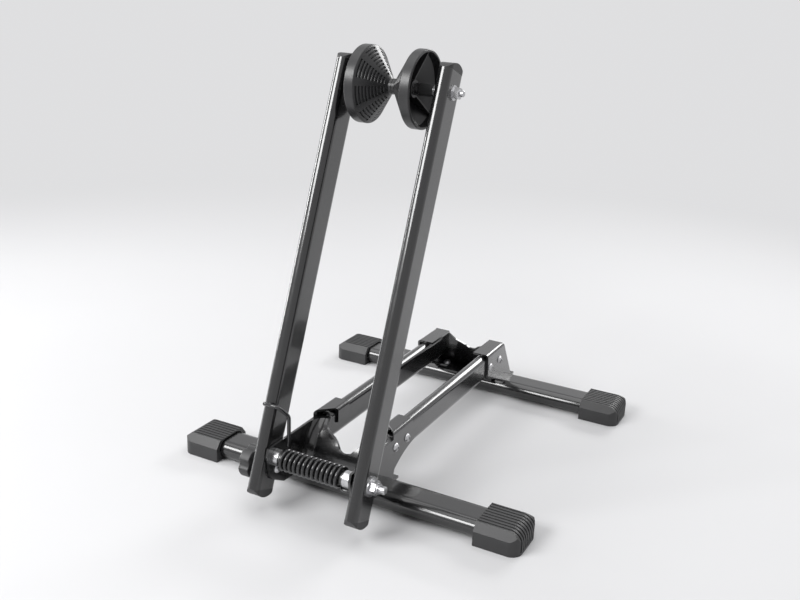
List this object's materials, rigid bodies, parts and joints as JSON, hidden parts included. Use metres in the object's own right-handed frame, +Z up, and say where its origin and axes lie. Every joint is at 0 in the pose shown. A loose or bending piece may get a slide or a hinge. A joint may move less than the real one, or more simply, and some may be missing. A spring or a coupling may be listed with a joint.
{
  "type": "floor bike rack",
  "caption": "Floor rack for a bicycle wheel: footed crossbars joined by two rails, and a sprung leaning arm that carries a pair of cone rollers.",
  "frame": {"origin": "on the floor under the middle of the rack's own bounding box", "axes": "+Z up; +X to the rack's right seen from its front, along the crossbars and the pivot; +Y rearward, the way the rails run from the arm's end, so that a wheel rolls in towards -Y"},
  "size_m": [0.4, 0.449, 0.4507],
  "materials": {
    "black_paint": "satin",
    "black_plastic": "matte",
    "roller_plastic": "satin",
    "spring_steel": "gloss",
    "dark_steel": "satin",
    "zinc": "satin",
    "nylon": "satin"
  },
  "bodies": {
    "base": {"crossbar_front": "black_paint", "base_screws_front": "zinc", "base_nuts_front": "zinc", "foot_cap_front_left": "black_plastic", "foot_cap_front_right": "black_plastic", "crossbar_rear": "black_paint", "base_screws_rear": "zinc", "base_nuts_rear": "zinc", "foot_cap_rear_left": "black_plastic", "foot_cap_rear_right": "black_plastic", "front_bracket": "black_paint", "rear_bracket": "black_paint", "rail_left": "black_paint", "rail_screws_left": "zinc", "rail_nuts_left": "zinc", "rail_right": "black_paint", "rail_screws_right": "zinc", "rail_nuts_right": "zinc", "pivot_bolt": "zinc", "pivot_nut": "zinc", "pivot_washers": "zinc", "pivot_sleeve": "dark_steel", "pivot_bushings": "zinc", "torsion_spring": "spring_steel"},
    "arm": {"upright_left": "black_paint", "upright_right": "black_paint", "bottom_plug_left": "black_plastic", "bottom_plug_right": "black_plastic", "top_plug_left": "black_plastic", "top_plug_right": "black_plastic", "upright_bushes": "nylon", "roller_axle_tube": "dark_steel", "roller_bushings": "zinc", "roller_spacers": "black_plastic", "roller_bolt": "zinc", "roller_nut": "zinc", "roller_washer": "zinc", "lock_bolt": "zinc", "lock_washer": "zinc"},
    "roller_left": {"roller_left": "roller_plastic"},
    "roller_right": {"roller_right": "roller_plastic"},
    "knob": {"knob": "black_plastic", "knob_insert": "zinc"}
  },
  "joints": [
    {"name": "arm_swing", "type": "hinge", "parent": "base", "child": "arm", "pos_m": [0, -0.19615, 0.0577], "axis": [1, 0, 0], "range_deg": [0, 44], "stiffness_Nm_per_rad": 2.5, "springref_deg": -20.05, "deforming": ["torsion_spring"]},
    {"name": "roller_left_spin", "type": "hinge", "parent": "arm", "child": "roller_left", "pos_m": [-0.02, -0.0627, 0.41275], "axis": [1, 0, 0], "continuous": true},
    {"name": "roller_right_spin", "type": "hinge", "parent": "arm", "child": "roller_right", "pos_m": [0.02, -0.0627, 0.41275], "axis": [1, 0, 0], "continuous": true},
    {"name": "knob_turn", "type": "hinge", "parent": "arm", "child": "knob", "pos_m": [-0.075, -0.19365, 0.0433], "axis": [1, 0, 0], "continuous": true}
  ]
}
